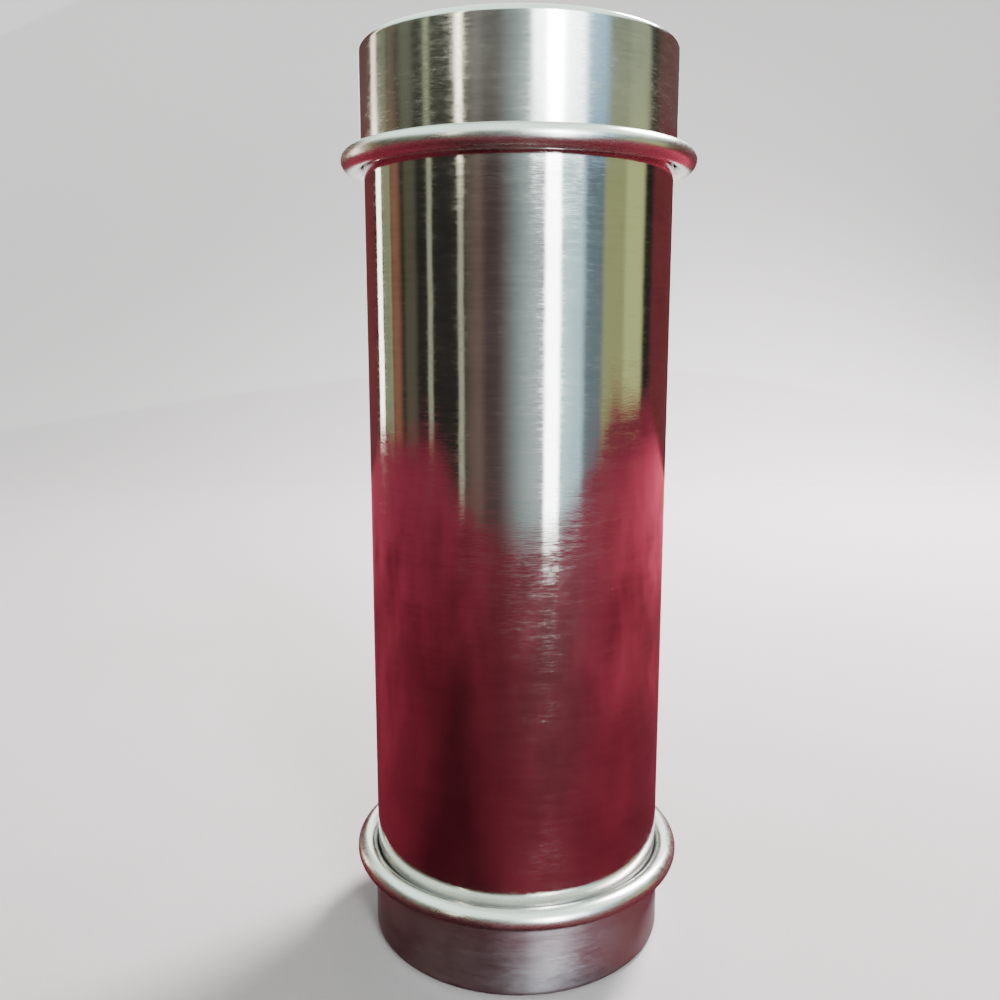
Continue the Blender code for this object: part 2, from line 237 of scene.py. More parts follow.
def cut_holes(obj, cutters):
    """Cut each cutter out of a piece, keep the result as its mesh, and drop the cutters."""
    for cutter in cutters:
        boolean = obj.modifiers.new("hole", "BOOLEAN")
        boolean.operation = "DIFFERENCE"
        boolean.solver = "EXACT"
        boolean.object = cutter
    depsgraph = bpy.context.evaluated_depsgraph_get()
    result = bpy.data.meshes.new_from_object(obj.evaluated_get(depsgraph))
    obj.modifiers.clear()
    obj.data = result
    result.shade_smooth()
    result.set_sharp_from_angle(angle=math.radians(32))
    for cutter in cutters:
        bpy.data.objects.remove(cutter, do_unlink=True)


def half_width(node):
    """Outer radius of a piece that is turned about the cylinder's axis."""
    low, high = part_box(node)
    return (high.x - low.x) / 2


def span(node):
    """Lowest and highest height of a node."""
    low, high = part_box(node)
    return low.z, high.z


def place_piece(obj, body, slot, *nodes):
    """Hang a finished piece on its body, in the place of its CAD nodes."""
    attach(obj, body)
    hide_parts(*nodes)


# Materials

class Graph:
    """A node tree, with short names for making its nodes and joining them."""

    def __init__(self, tree):
        self.tree = tree

    def node(self, kind, **settings):
        made = self.tree.nodes.new(kind)
        for key, value in settings.items():
            setattr(made, key, value)
        return made

    def feed(self, value, socket):
        """Link an output into a socket, or set a plain number or colour on it."""
        if isinstance(value, bpy.types.NodeSocket):
            self.tree.links.new(value, socket)
        else:
            socket.default_value = (*value, 1.0) if isinstance(value, tuple) else value

    def math(self, operation, *operands):
        made = self.node("ShaderNodeMath", operation=operation)
        for value, socket in zip(operands, made.inputs):
            self.feed(value, socket)
        return made.outputs[0]

    def place(self, kind="Object"):
        """The coordinates of a kind, as one vector and as x, y, z."""
        coords = self.node("ShaderNodeTexCoord").outputs[kind]
        split = self.node("ShaderNodeSeparateXYZ")
        self.feed(coords, split.inputs[0])
        return coords, split.outputs

    def radius(self, x, y):
        """Distance from the Z axis."""
        return self.math("SQRT", self.math("ADD", self.math("MULTIPLY", x, x),
                                           self.math("MULTIPLY", y, y)))

    def mix(self, first, second, share):
        """A weighted sum of two values."""
        return self.math("ADD", self.math("MULTIPLY", first, 1 - share),
                         self.math("MULTIPLY", second, share))

    def smooth(self, value, start, end):
        """0 up to start and 1 from end, with an S-shaped rise between them."""
        made = self.node("ShaderNodeMapRange", interpolation_type="SMOOTHSTEP")
        made.inputs["From Min"].default_value = start
        made.inputs["From Max"].default_value = end
        self.feed(value, made.inputs["Value"])
        return made.outputs[0]

    def blend(self, kind, share, first, second):
        """Two colours blended, as far as share says."""
        made = self.node("ShaderNodeMix", data_type="RGBA", blend_type=kind)
        self.feed(share, made.inputs["Factor"])
        self.feed(first, made.inputs[6])
        self.feed(second, made.inputs[7])
        return made.outputs[2]


class Finish(Graph):
    """The node tree of a material. A noise's scale is in features to the metre."""

    def __init__(self, name):
        self.material = bpy.data.materials.new(name)
        self.material.use_nodes = True
        super().__init__(self.material.node_tree)
        self.shader = self.tree.nodes["Principled BSDF"]

    def paint(self, **values):
        """Feed the shader's sockets, whose names take underscores for spaces."""
        for key, value in values.items():
            self.feed(value, self.shader.inputs[key.replace("_", " ")])

    def drawn_out(self, coords, squeeze, shift=(0.0, 0.0, 0.0)):
        """Coordinates that run slowly along the Z axis."""
        made = self.node("ShaderNodeMapping")
        made.inputs["Scale"].default_value = (1.0, 1.0, squeeze)
        made.inputs["Location"].default_value = shift
        self.feed(coords, made.inputs["Vector"])
        return made.outputs[0]

    def along_cut(self, squeeze):
        """Coordinates that run slowly around the axis, and fast along it and out from it."""
        coords, (x, y, z) = self.place()
        made = self.node("ShaderNodeCombineXYZ")
        self.feed(self.math("MULTIPLY", x, squeeze), made.inputs[0])
        self.feed(self.math("MULTIPLY", y, squeeze), made.inputs[1])
        self.feed(self.math("ADD", z, self.radius(x, y)), made.inputs[2])
        return coords, made.outputs[0]

    def noise(self, vector, scale, detail=3.0, roughness=0.5):
        made = self.node("ShaderNodeTexNoise")
        made.inputs["Scale"].default_value = scale
        made.inputs["Detail"].default_value = detail
        made.inputs["Roughness"].default_value = roughness
        self.feed(vector, made.inputs["Vector"])
        return made.outputs["Fac"]

    def ramp(self, value, *stops):
        """A colour ramp. A stop is (position, grey) or (position, (red, green, blue))."""
        made = self.node("ShaderNodeValToRGB")
        elements = made.color_ramp.elements
        while len(elements) < len(stops):
            elements.new(0.5)
        for element, (position, colour) in zip(elements, stops):
            element.position = position
            rgb = (colour,) * 3 if isinstance(colour, (int, float)) else colour
            element.color = (*rgb, 1.0)
        self.feed(value, made.inputs["Fac"])
        return made.outputs["Color"]

    def bump(self, height, strength, distance, under=None):
        made = self.node("ShaderNodeBump")
        made.inputs["Strength"].default_value = strength
        made.inputs["Distance"].default_value = distance
        self.feed(height, made.inputs["Height"])
        if under is not None:
            self.feed(under, made.inputs["Normal"])
        return made.outputs["Normal"]


def shade(colour, factor):
    """A colour made darker or lighter."""
    return tuple(channel * factor for channel in colour)


def turned_metal(name, colour, smooth, worn, wear=0.3, depth=0.5 * MM, spread=0.5,
                 handled=0.4):
    """Metal finished on a lathe: streaks run around the axis.

    smooth and worn are the roughness of the clean metal and of its scratches, wear is the
    share of it that is scratched, depth scales the streaks' relief, spread is how much
    further a highlight reaches along the axis than around it, and handled is how unevenly
    the metal has been rubbed.
    """
    g = Finish(name)
    coords, cut = g.along_cut(0.10)
    fine = g.noise(cut, 7500.0, 2.0, 0.6)
    coarse = g.noise(cut, 1300.0, 3.0, 0.6)
    smear = g.noise(coords, 70.0, 4.0, 0.6)
    specks = g.noise(coords, 1100.0, 2.0, 0.5)
    edge = 0.66 - 0.4 * wear
    brushed = g.ramp(g.mix(fine, coarse, 0.35), (edge - 0.12, smooth), (edge + 0.16, worn))
    rubbed = g.ramp(smear, (0.42, 1.0 - 0.6 * handled), (0.62, 1.0 + 0.4 * handled))
    pitted = g.ramp(specks, (0.72, 0.0), (0.82, 0.10))
    tarnish = g.mix(smear, coarse, 0.3)
    dents = g.bump(g.noise(coords, 95.0, 2.0), 0.12, depth * 0.7)
    lines = g.bump(coarse, 0.10, depth * 0.06, dents)
    tangent = g.node("ShaderNodeTangent", direction_type="RADIAL", axis="Z")
    g.paint(Base_Color=g.ramp(tarnish, (0.30, shade(colour, 0.80)), (0.50, colour),
                              (0.72, shade(colour, 1.05))),
            Roughness=g.math("ADD", g.math("MULTIPLY", brushed, rubbed), pitted),
            Normal=g.bump(fine, 0.25, depth * 0.02, lines), Tangent=tangent.outputs[0],
            Metallic=1.0, Anisotropic=spread, Anisotropic_Rotation=0.25)
    return g.material


def oxide(name, colour):
    """Black oxide on small steel screws, rubbed bright on the high spots."""
    g = Finish(name)
    coords, _ = g.place()
    rubbed = g.noise(coords, 1600.0, 4.0, 0.65)
    g.paint(Base_Color=g.ramp(rubbed, (0.35, colour), (0.60, shade(colour, 1.8)),
                              (0.74, (0.30, 0.30, 0.31))),
            Roughness=g.ramp(rubbed, (0.3, 0.48), (0.75, 0.30)),
            Normal=g.bump(rubbed, 0.25, 0.03 * MM),
            Metallic=1.0)
    return g.material


def plastic(name, colour, roughness):
    """Turned plastic or rubber: faint tool lines and a mottled surface."""
    g = Finish(name)
    coords, cut = g.along_cut(0.08)
    mottle = g.noise(coords, 380.0, 4.0, 0.6)
    lines = g.noise(cut, 3200.0, 2.0)
    g.paint(Base_Color=g.ramp(mottle, (0.32, shade(colour, 0.84)), (0.62, colour)),
            Roughness=g.ramp(mottle, (0.3, roughness * 0.8), (0.7, roughness * 1.15)),
            Normal=g.bump(g.mix(lines, mottle, 0.4), 0.30, 0.03 * MM),
            Metallic=0.0, Specular_IOR_Level=0.45)
    return g.material


def glass(name):
    """Clear drawn glass tube, faintly green, with slight ripples and a few smears."""
    g = Finish(name)
    coords, _ = g.place()
    ripple = g.noise(g.drawn_out(coords, 0.05), 260.0, 2.0)
    smear = g.noise(coords, 120.0, 4.0, 0.6)
    g.paint(Base_Color=g.ramp(smear, (0.3, (0.90, 0.97, 0.94)), (0.7, (0.95, 0.99, 0.97))),
            Roughness=g.ramp(smear, (0.45, 0.0), (0.80, 0.09)),
            Normal=g.bump(ripple, 0.08, 0.05 * MM),
            Transmission_Weight=1.0, IOR=1.5, Metallic=0.0)
    return g.material


def wood(name):
    """Oiled walnut: growth rings round a pith beside the axis, and pores along the grain."""
    g = Finish(name)
    coords, _ = g.place()
    grain = g.drawn_out(coords, 0.10, (11 * MM, 4 * MM, 0.0))
    rings = g.node("ShaderNodeTexWave", wave_type="RINGS", rings_direction="Z")
    for socket, value in (("Scale", 55.0), ("Distortion", 4.0), ("Detail", 3.0),
                          ("Detail Scale", 1.6)):
        rings.inputs[socket].default_value = value
    g.feed(grain, rings.inputs["Vector"])
    pores = g.noise(grain, 2400.0, 4.0, 0.7)
    figure = g.mix(rings.outputs["Fac"], pores, 0.4)
    g.paint(Base_Color=g.ramp(figure, (0.18, (0.045, 0.018, 0.008)),
                              (0.50, (0.11, 0.048, 0.020)), (0.82, (0.20, 0.095, 0.040))),
            Roughness=g.ramp(pores, (0.3, 0.62), (0.7, 0.36)),
            Normal=g.bump(pores, 0.3, 0.05 * MM),
            Metallic=0.0)
    return g.material


def paper(name):
    """Aged parchment: blotches, fibres and foxing."""
    g = Finish(name)
    coords, _ = g.place()
    blotch = g.noise(coords, 65.0, 5.0, 0.6)
    fibres = g.noise(coords, 1900.0, 4.0, 0.75)
    foxing = g.ramp(g.noise(coords, 260.0, 2.0), (0.66, 0.0), (0.74, 1.0))
    age = g.math("SUBTRACT", g.mix(blotch, fibres, 0.3), g.math("MULTIPLY", foxing, 0.12))
    g.paint(Base_Color=g.ramp(age, (0.30, (0.26, 0.13, 0.04)), (0.48, (0.56, 0.36, 0.15)),
                              (0.70, (0.74, 0.55, 0.29))),
            Normal=g.bump(fibres, 0.5, 0.08 * MM),
            Metallic=0.0, Roughness=0.84, Sheen_Weight=0.1)
    return g.material


def woven(name, colour, gauge):
    """A plain woven ribbon: threads around it and along it, a gauge apart."""
    g = Finish(name)
    coords, (x, y, z) = g.place()
    around = round(TURN * half_width("scroll_band") / gauge)
    warp = g.math("SINE", g.math("MULTIPLY", g.math("ARCTAN2", y, x), around))
    weft = g.math("SINE", g.math("MULTIPLY", z, TURN / gauge))
    weave = g.math("MULTIPLY_ADD", g.math("MULTIPLY", warp, weft), 0.5, 0.5)
    cloth = g.mix(weave, g.noise(coords, 2600.0, 3.0, 0.7), 0.35)
    g.paint(Base_Color=g.ramp(cloth, (0.2, shade(colour, 0.3)), (0.72, colour)),
            Roughness=g.ramp(cloth, (0.3, 0.75), (0.8, 0.45)),
            Normal=g.bump(cloth, 0.9, 0.10 * MM),
            Metallic=0.0, Sheen_Weight=0.35)
    return g.material


def felted(name, colour):
    """Pressed wool felt: matted fibres in slightly different greens."""
    g = Finish(name)
    coords, _ = g.place()
    matted = g.noise(coords, 1300.0, 6.0, 0.78)
    patches = g.noise(coords, 140.0, 3.0)
    cloth = g.mix(matted, patches, 0.3)
    g.paint(Base_Color=g.ramp(cloth, (0.30, shade(colour, 0.35)), (0.55, colour),
                              (0.75, shade(colour, 1.6))),
            Normal=g.bump(matted, 1.0, 0.35 * MM),
            Metallic=0.0, Roughness=0.96, Sheen_Weight=0.15)
    return g.material


STEEL = (0.635, 0.615, 0.585)
MATERIALS = {
    "tube_steel": turned_metal("tube_steel", STEEL, 0.06, 0.19, 0.30),
    "rim_steel": turned_metal("rim_steel", STEEL, 0.25, 0.34, 0.40, 0.12 * MM, 0.3, 0.1),
    "cap_steel": turned_metal("cap_steel", STEEL, 0.09, 0.24, 0.42),
    # The satin finish is the lower cap's own. Its colour, cooler and darker than STEEL, is a
    # painted tint that dims its highlight and turns it blue.
    "satin_steel_painted_tint": turned_metal("satin_steel_painted_tint", (0.58, 0.56, 0.60), 0.30, 0.38, 0.5, 0.4 * MM,
                                0.68, 0.15),
    "bore_steel": turned_metal("bore_steel", shade(STEEL, 0.8), 0.30, 0.48, 0.5, 1.2 * MM),
    "lock_brass": turned_metal("lock_brass", (0.80, 0.57, 0.25), 0.16, 0.38, 0.4, 1.2 * MM),
    "pin_steel": turned_metal("pin_steel", (0.55, 0.56, 0.58), 0.14, 0.34, 0.4, 0.8 * MM, 0.3),
    "dark_screw": oxide("dark_screw", (0.045, 0.045, 0.05)),
    "nylon": plastic("nylon", (0.66, 0.64, 0.56), 0.42),
    "black_rubber": plastic("black_rubber", (0.020, 0.020, 0.022), 0.55),
    "vial_glass": glass("vial_glass"),
    "walnut": wood("walnut"),
    "parchment": paper("parchment"),
    "red_ribbon": woven("red_ribbon", (0.33, 0.006, 0.014), 0.42 * MM),
    "green_felt": felted("green_felt", (0.045, 0.15, 0.08)),
}


def finishes(*names):
    """The named materials, in order."""
    return [MATERIALS[name] for name in names]


# Tube and caps

def cap_outline(height, rim_r, bore_r):
    """A shallow cup drawn mouth up. Its edge is rolled outwards and down into an open bead."""
    cap_r = bore_r + CAP_SHEET
    roll_r = (rim_r - bore_r) / 2
    middle = (bore_r + roll_r, height - roll_r)
    end = -math.degrees(math.acos((cap_r + ROLL_GAP - middle[0]) / roll_r))
    inner_edge_r = CAP_EDGE_R - CAP_SHEET
    face = [(cap_r * step / 8, 0.0) for step in range(8)]
    edge = arc((cap_r - CAP_EDGE_R, CAP_EDGE_R), CAP_EDGE_R, -90, 0, 14)
    wall = [(cap_r, z) for z in heights(CAP_EDGE_R, middle[1], 1.5 * MM)[1:]]
    roll_inside = arc(middle, roll_r - CAP_SHEET, 180, end, 40)[1:]
    roll_outside = arc(middle, roll_r, end, 180, 56)
    bore = [(bore_r, z) for z in heights(middle[1], CAP_EDGE_R, 2 * MM)[1:-1]]
    corner = arc((bore_r - inner_edge_r, CAP_PLATE + inner_edge_r), inner_edge_r, 0, -90, 6)
    return face + edge + wall + roll_inside + roll_outside + bore + corner + [(0.0, CAP_PLATE)]


def make_cap(node, body, wall_finish):
    """A slip cap. Its wall and its rolled rim differ in finish."""
    low, high = span(node)
    bore_r = half_width("outer_tube") + FIT
    bm = lathe(cap_outline(high - low, half_width(node), bore_r), ROUND)
    if node == "top_cap":
        turn_over(bm)
    cap = make_object(node + "_shell", bm, finishes(wall_finish, "rim_steel"))
    for face in cap.data.polygons:
        face.material_index = int(face.center.xy.length > bore_r + CAP_SHEET + 0.05 * MM)
    place_piece(cap, body, "polished_steel", node)


def screw_height(group):
    """Height of the axes of a pair of grub screws."""
    return sum(span(group + "_1")) / 2


def screw_hole_cutters(group):
    """Cutters for the two cross-drilled holes that a pair of grub screws sits in."""
    start = half_width("outer_tube") + SCREW_R
    depth = start - SCREW_HEAD_R + SCREW_LENGTH + 3 * FIT
    return [rod(SCREW_R + FIT, depth, spoke(angle, start, screw_height(group)))
            for angle in SCREW_ANGLES]


def make_tube():
    """The long outer tube, its ends rounded, with the holes for the grub screws."""
    low, high = span("outer_tube")
    radius = half_width("outer_tube")
    bore = radius - TUBE_WALL
    plain = soften(band(bore, radius, low, high), 0.4 * MM)
    half = len(plain) // 2
    rows = heights(low, high, 8 * MM)[1:-1]
    outline = (plain[:half] + [(radius, z) for z in rows] + plain[half:]
               + [(bore, z) for z in reversed(rows)])
    tube = make_object("tube_shell", lathe(outline, ROUND), finishes("tube_steel", "bore_steel"))
    for face in tube.data.polygons:
        face.material_index = int(face.center.xy.length < bore + TUBE_WALL / 3)
    cut_holes(tube, screw_hole_cutters("ring_screw") + screw_hole_cutters("plug_screw"))
    place_piece(tube, "tube", "polished_steel", "outer_tube")


# Cap bearings

def make_stud(end, body):
    """A flanged stud with a rolled thread."""
    node = end + "_cap_stud"
    length = span(node)[1] - span(node)[0]
    low = span("bottom_cap_stud")[0]
    flange_top, tip = low + STUD_FLANGE_T, low + length
    flange_r = half_width(node)
    edge, lead = 0.2 * MM, 0.3 * MM
    start = flange_top + 0.8 * MM
    outline = ([(0.0, low)] + arc((flange_r - edge, low + edge), edge, -90, 0, 3)
               + arc((flange_r - edge, flange_top - edge), edge, 0, 90, 3)
               + [(STUD_R + edge, flange_top), (STUD_R, flange_top + edge)]
               + [(STUD_R, z) for z in heights(start, tip - lead, STUD_PITCH / 10)]
               + [(STUD_R - lead, tip), (0.0, tip)])
    bm = lathe(outline, SMALL_ROUND, thread(STUD_R, STUD_PITCH, start, tip, STUD_THREAD_DEPTH))
    if end == "top":
        turn_over(bm)
    stud = make_object(node + "_threaded", bm, finishes("pin_steel"))
    place_piece(stud, body, "pin_steel", node)


def make_washer(end, body):
    """A nylon washer with broken edges."""
    node = end + "_cap_washer"
    outline = soften(band(STUD_BORE_R, half_width(node), *span(node)), 0.2 * MM)
    washer = make_object(node + "_turned", lathe(outline, SMALL_ROUND), finishes("nylon"))
    place_piece(washer, body, "nylon", node)


def make_nut(end, body):
    """A hexagon nut: chamfered corners, and a threaded hole."""
    node = end + "_cap_nut"
    low, high = span(node)
    corner_r = half_width(node)
    flat_r = corner_r * math.cos(TURN / 12)
    cut_thread = thread(STUD_BORE_R, STUD_PITCH, low, high, -NUT_THREAD_DEPTH)

    def shape(r, z, angle):
        if r < corner_r:
            return cut_thread(r, z, angle)
        side = flat_r / math.cos(angle % (TURN / 6) - TURN / 12)
        chamfer = 0.96 * flat_r + min(z - low, high - z) / math.tan(TURN / 12)
        return min(side, chamfer), z

    lead = 0.3 * MM
    outside = [(corner_r, z) for z in heights(low, high, 0.1 * MM)]
    inside = [(STUD_BORE_R, z) for z in heights(high - lead, low + lead, STUD_PITCH / 10)]
    outline = [(STUD_BORE_R + lead, low), *outside, (STUD_BORE_R + lead, high), *inside]
    nut = make_object(node + "_hexagon", lathe(outline, 2 * SMALL_ROUND, shape),
                      finishes("pin_steel"))
    place_piece(nut, body, "pin_steel", node)


# Lock

def pin_place(number, distance):
    """A frame on a pin's own axis, at a distance from the cylinder's axis."""
    low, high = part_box("lock_pin_%d" % number)
    middle = (low + high) / 2
    quarter = TURN / 4
    angle = round(math.atan2(middle.y, middle.x) / quarter) * quarter
    ring_middle = (RING_BORE_R + half_width("lock_ring")) / 2
    height = sum(span("lock_ring")) / 2 + (distance - ring_middle) * math.tan(PIN_TILT)
    return spoke(angle, distance, height, PIN_TILT)


def make_lock_ring():
    """The brass ring in the top of the tube, with a falling bore for each pin."""
    outer = half_width("outer_tube")
    outline = soften(band(RING_BORE_R, half_width("lock_ring"), *span("lock_ring")), 0.45 * MM)
    ring = make_object("lock_ring_bored", lathe(outline, ROUND), finishes("lock_brass"))
    bores = [rod(PIN_R + FIT, outer - RING_BORE_R + PIN_R, pin_place(number, outer))
             for number in range(1, 5)]
    cut_holes(ring, bores + screw_hole_cutters("ring_screw"))
    place_piece(ring, "tube", "lock_brass", "lock_ring")


def make_lock_pin(number):
    """A loose ground pin: domed nose, and a chamfered tail with a centre mark."""
    nose_h, mark, edge = 1.1 * MM, 0.5 * MM, 0.3 * MM
    dome = arc((0.0, PIN_LENGTH - nose_h), PIN_R, 0, 81, 9)
    dome = [(r, PIN_LENGTH - nose_h + (z - PIN_LENGTH + nose_h) * nose_h / PIN_R)
            for r, z in dome]
    outline = ([(0.0, mark), (mark, 0.0), (PIN_R - edge, 0.0), (PIN_R, edge)]
               + [(PIN_R, z) for z in heights(edge, PIN_LENGTH - nose_h, MM)[1:-1]]
               + dome + [(0.0, PIN_LENGTH)])
    pin = make_object("lock_pin_%d_ground" % number, lathe(outline, SMALL_ROUND),
                      finishes("pin_steel"))
    pin.matrix_world = pin_place(number, PIN_TAIL_R)
    place_piece(pin, "pin_%d" % number, "pin_steel", "lock_pin_%d" % number)


def make_lock_plug():
    """The hub under the top cap: flange, O-ring groove, pin groove, spigot and nut pocket."""
    end, top = span("lock_plug")
    seat = top - PLUG_FLANGE_T
    shoulder = end + PLUG_SPIGOT_H
    body_r = RING_BORE_R - FIT
    spigot_r = half_width("message_vial") - VIAL_WALL - FIT
    outline = [(STUD_BORE_R, top), (half_width("lock_plug"), top),
               (half_width("lock_plug"), seat), (body_r, seat)]
    for groove_r, (low, high) in ((RING_GROOVE_R, RING_GROOVE_Z), (PIN_GROOVE_R, PIN_GROOVE_Z)):
        outline += [(body_r, high), (groove_r, high), (groove_r, low), (body_r, low)]
    outline += [(body_r, shoulder), (spigot_r, shoulder), (spigot_r, end), (NUT_POCKET_R, end),
                (NUT_POCKET_R, TOP_POCKET_Z), (STUD_BORE_R, TOP_POCKET_Z)]
    plug = make_object("lock_plug_turned", lathe(soften(outline, 0.3 * MM), MIDDLE_ROUND),
                       finishes("lock_brass"))
    place_piece(plug, "core", "lock_brass", "lock_plug")


def make_o_ring():
    """The rubber ring in the plug's groove."""
    middle = (half_width("plug_o_ring") - O_RING_SECTION_R, sum(span("plug_o_ring")) / 2)
    section = arc(middle, O_RING_SECTION_R, 0, 360, 20)[:-1]
    ring = make_object("plug_o_ring_moulded", lathe(section, MIDDLE_ROUND),
                       finishes("black_rubber"))
    place_piece(ring, "core", "black_rubber", "plug_o_ring")


# Vial and what it holds

def make_vial():
    """The glass vial, its ends rounded in the flame."""
    radius = half_width("message_vial")
    outline = soften(band(radius - VIAL_WALL, radius, *span("message_vial")), VIAL_WALL / 2, 7)
    vial = make_object("message_vial_blown", lathe(outline, MIDDLE_ROUND),
                       finishes("vial_glass"), 60.0)
    place_piece(vial, "core", "vial_glass", "message_vial")


def make_stopper():
    """The walnut stopper: two turned grooves round its head, and a tapered nose."""
    low, high = span("vial_stopper")
    head_r = half_width("vial_stopper")
    head_top = low + STOPPER_HEAD_H
    insert_r = head_r - VIAL_WALL - FIT
    groove = 0.3 * MM
    outline = [(0.0, low + 0.35 * MM), (head_r - 3 * MM, low + 0.2 * MM),
               (head_r - 0.8 * MM, low), (head_r, low + 0.8 * MM)]
    for share in (0.45, 0.70):
        z = low + STOPPER_HEAD_H * share
        outline += [(head_r, z - groove / 2), (head_r - groove, z), (head_r, z + groove / 2)]
    outline += [(head_r, head_top), (insert_r, head_top), (insert_r, high - 1.2 * MM),
                (insert_r - 0.9 * MM, high), (0.0, high)]
    stopper = make_object("vial_stopper_turned", lathe(soften(outline, 0.25 * MM), MIDDLE_ROUND),
                          finishes("walnut"))
    place_piece(stopper, "stopper", "walnut", "vial_stopper")


def rolled_strip(turns, facets, rows, radius_at, height_at, thickness):
    """A sheet wound about the axis, as one closed skin with the sheet's own thickness.

    radius_at(angle, share) is its inner face and height_at(angle, share) its height, where
    share runs from 0 at the lower edge to 1 at the upper.
    """
    steps = round(turns * facets)
    bm = bmesh.new()
    layers = []
    for offset in (0.0, thickness):
        layer = []
        for step in range(steps + 1):
            angle = TURN * step / facets
            column = []
            for row in range(rows + 1):
                share = row / rows
                r = radius_at(angle, share) + offset
                column.append(bm.verts.new((r * math.cos(angle), r * math.sin(angle),
                                            height_at(angle, share))))
            layer.append(column)
        layers.append(layer)
    inner, outer = layers
    for layer in layers:
        for left, right in zip(layer, layer[1:]):
            for row in range(rows):
                bm.faces.new((left[row], right[row], right[row + 1], left[row + 1]))
    for row in (0, rows):
        for step in range(steps):
            bm.faces.new((inner[step][row], inner[step + 1][row], outer[step + 1][row],
                          outer[step][row]))
    for step in (0, steps):
        for row in range(rows):
            bm.faces.new((inner[step][row], outer[step][row], outer[step][row + 1],
                          inner[step][row + 1]))
    return bm


def ripple(angle, share, size):
    """A smooth, fixed unevenness of a sheet, from 0 to size."""
    return size * (0.5 + 0.5 * noise.noise((angle * 0.9, share * 4.0, 7.3)))


def make_scroll():
    """The rolled parchment, with a slightly cockled face and ragged edges."""
    low, high = span("scroll")

    def radius_at(angle, share):
        return SCROLL_CORE_R + SCROLL_PITCH * angle / TURN + ripple(angle, share, 0.1 * MM)

    def height_at(angle, share):
        ragged = 0.5 * MM * (0.5 + 0.5 * noise.noise((angle * 6.0, round(share) * 9.0, 1.7)))
        return low + ragged + (high - low - 2 * ragged) * share

    bm = rolled_strip(SCROLL_TURNS, 96, 30, radius_at, height_at, PAPER_T)
    scroll = make_object("scroll_rolled", bm, finishes("parchment"))
    place_piece(scroll, "core", "parchment", "scroll")


def make_ribbon():
    """The ribbon round the scroll, its end lapped over its start."""
    low, high = span("scroll_band")
    inner = half_width("scroll_band") - 2 * RIBBON_T - FIT
    turns, lap_start = 1.08, 0.9

    def radius_at(angle, share):
        lap = max(0.0, angle / TURN - lap_start) / (turns - lap_start)
        belly = 0.04 * MM * math.sin(math.pi * share)
        return inner + (RIBBON_T + 0.02 * MM) * lap + belly

    def height_at(angle, share):
        return low + (high - low) * (0.02 + 0.94 * share) + ripple(angle, 0.3, 0.1 * MM)

    bm = rolled_strip(turns, 120, 8, radius_at, height_at, RIBBON_T)
    ribbon = make_object("scroll_band_woven", bm, finishes("red_ribbon"))
    place_piece(ribbon, "core", "red_ribbon", "scroll_band")


def make_vial_guide():
    """The nylon ring that keeps the vial central: a lead-in chamfer and three outer ribs."""
    low, high = span("vial_guide")
    inner = half_width("message_vial") + 0.3 * MM
    outer = half_width("vial_guide")
    groove_h, groove_d, edge, lead = 1.0 * MM, 0.7 * MM, 0.5 * MM, 1.4 * MM
    outline = [(inner, low + edge), (inner + edge, low), (outer - edge, low), (outer, low + edge)]
    for share in (1 / 3, 2 / 3):
        z = low + (high - low) * share
        outline += [(outer, z - groove_h / 2), (outer - groove_d, z - groove_h / 2),
                    (outer - groove_d, z + groove_h / 2), (outer, z + groove_h / 2)]
    outline += [(outer, high - edge), (outer - edge, high), (inner + lead, high),
                (inner, high - lead)]
    guide = make_object("vial_guide_turned", lathe(soften(outline, 0.15 * MM), ROUND),
                        finishes("nylon"))
    place_piece(guide, "tube", "nylon", "vial_guide")


# Foot of the tube

def make_bottom_plug():
    """The brass plug in the tube's foot, with the pocket for the lower cap's nut."""
    low, high = span("bottom_plug")
    outer = half_width("bottom_plug")
    outline = [(STUD_BORE_R, low), (outer, low), (outer, high), (NUT_POCKET_R, high),
               (NUT_POCKET_R, BOTTOM_POCKET_Z), (STUD_BORE_R, BOTTOM_POCKET_Z)]
    plug = make_object("bottom_plug_turned", lathe(soften(outline, 0.35 * MM), ROUND),
                       finishes("lock_brass"))
    cut_holes(plug, screw_hole_cutters("plug_screw"))
    place_piece(plug, "tube", "lock_brass", "bottom_plug")


def make_floor_felt():
    """The felt disc on the bottom plug, its face and its cut edge uneven."""
    low, high = span("floor_felt")
    radius = half_width("floor_felt")
    edge = 0.5 * MM
    cut_edge = soften(band(radius / 2, radius, low, high), edge)[4:12]
    face = [(radius * step / 40, high) for step in range(39, 0, -1)]
    outline = [(0.0, low), (radius / 2, low), *cut_edge, *face, (0.0, high - 0.1 * MM)]

    def shape(r, z, angle):
        spot = Vector((r * math.cos(angle), r * math.sin(angle), z)) / MM
        nap = 0.5 + 0.5 * noise.fractal(spot * 0.7, 0.7, 2.0, 3)
        nap = min(1.0, max(0.0, nap))
        if z > low + edge:
            z -= 0.28 * MM * nap
        if r > radius - edge:
            r -= 0.25 * MM * nap
        return r, z

    felt = make_object("floor_felt_pressed", lathe(outline, ROUND, shape),
                       finishes("green_felt"))
    place_piece(felt, "tube", "green_felt", "floor_felt")


# Fasteners

